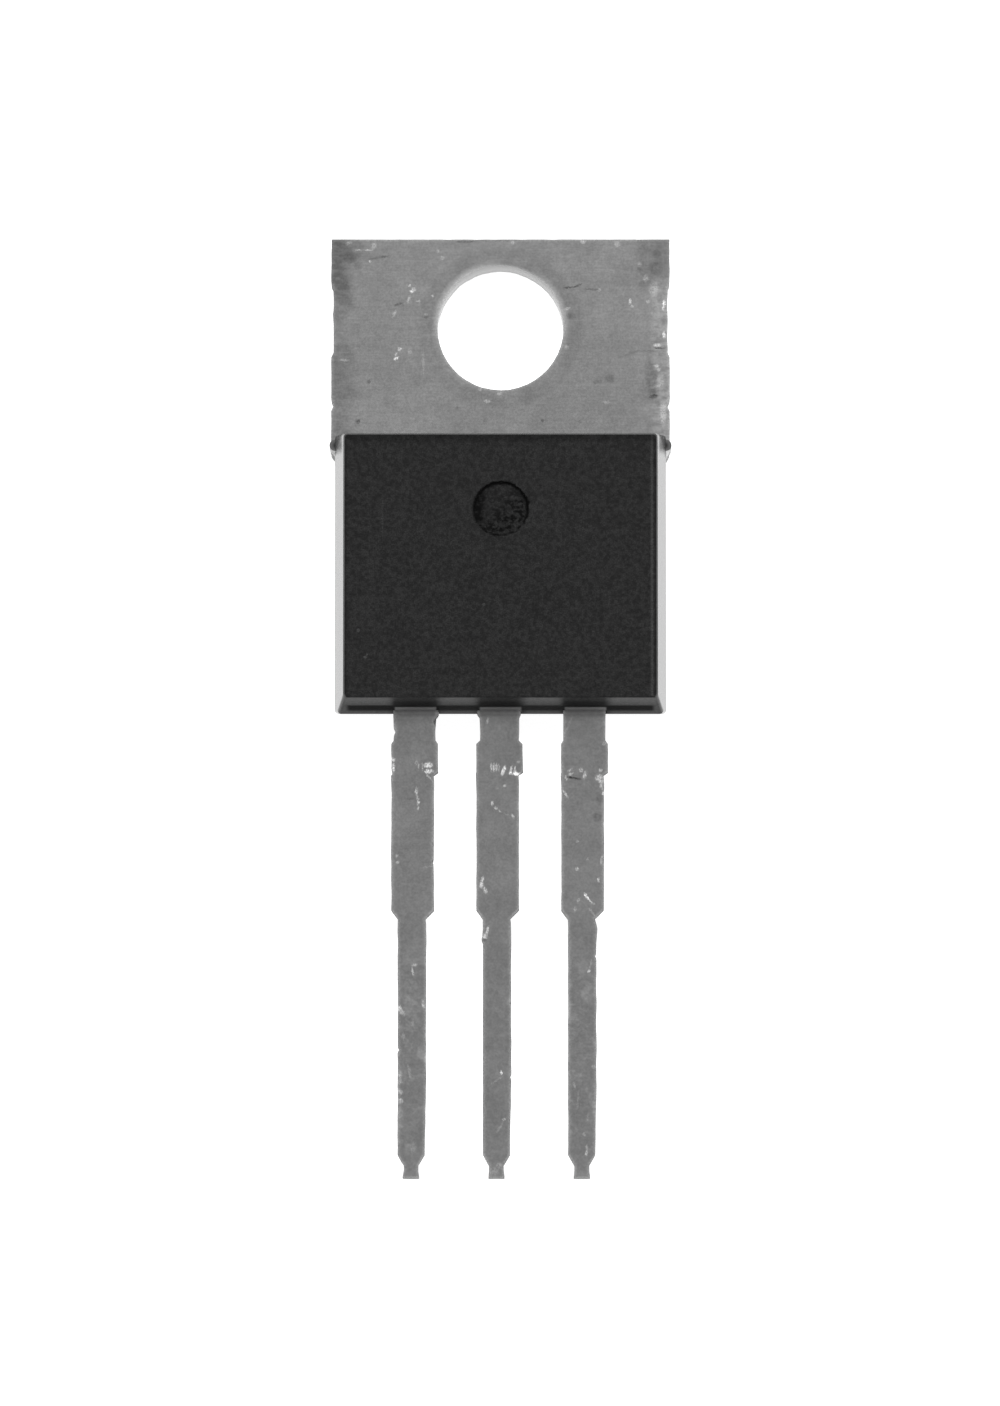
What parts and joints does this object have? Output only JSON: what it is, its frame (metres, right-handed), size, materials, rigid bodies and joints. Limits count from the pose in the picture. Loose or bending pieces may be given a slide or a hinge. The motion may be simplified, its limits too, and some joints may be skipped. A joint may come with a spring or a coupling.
{
  "type": "voltage regulator",
  "caption": "Flat-pack linear voltage regulator: drilled metal heat-sink tab, drafted black moulding and a row of stepped flat leads, lying on its back.",
  "frame": {"origin": "centre of the mounting hole at the back face of the tab", "axes": "+Z out of the front face, +Y from the leads towards the end of the tab, X across; the part lies on its back"},
  "size_m": [0.0104, 0.0285, 0.0045],
  "materials": {
    "tinned_copper": "dull tin plating over copper, finely scratched",
    "soft_solder": "matte soft solder",
    "silicon": "polished silicon",
    "aluminium_wire": "drawn bright wire",
    "black_epoxy": "fine-grained black moulding compound"
  },
  "bodies": {
    "root": {"heat_sink_frame": "tinned_copper", "input_lead": "tinned_copper", "output_lead": "tinned_copper", "die_solder": "soft_solder", "regulator_die": "silicon", "input_wire": "aluminium_wire", "output_wire": "aluminium_wire", "sense_wire": "aluminium_wire", "ground_wire": "aluminium_wire", "moulded_body": "black_epoxy"}
  },
  "joints": []
}
